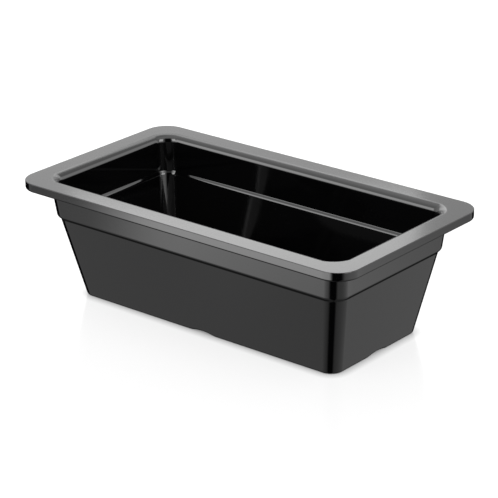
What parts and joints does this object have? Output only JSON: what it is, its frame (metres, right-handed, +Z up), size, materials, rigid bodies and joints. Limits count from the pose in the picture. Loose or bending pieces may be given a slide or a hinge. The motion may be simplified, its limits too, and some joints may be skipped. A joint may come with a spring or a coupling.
{
  "type": "food pan",
  "caption": "Black glossy rectangular food pan with a flat rim to hang in a counter cut-out, a stepped tapered wall, an inner stacking ledge and a notched foot ring.",
  "frame": {"origin": "middle of the plane that the foot ring stands on", "axes": "+X along the long side, +Y along the short side, +Z up out of the well"},
  "size_m": [0.325, 0.176, 0.1],
  "materials": {
    "moulding": "polished black melamine, with a satin rim top"
  },
  "bodies": {
    "root": {"pan": "moulding"}
  },
  "joints": []
}
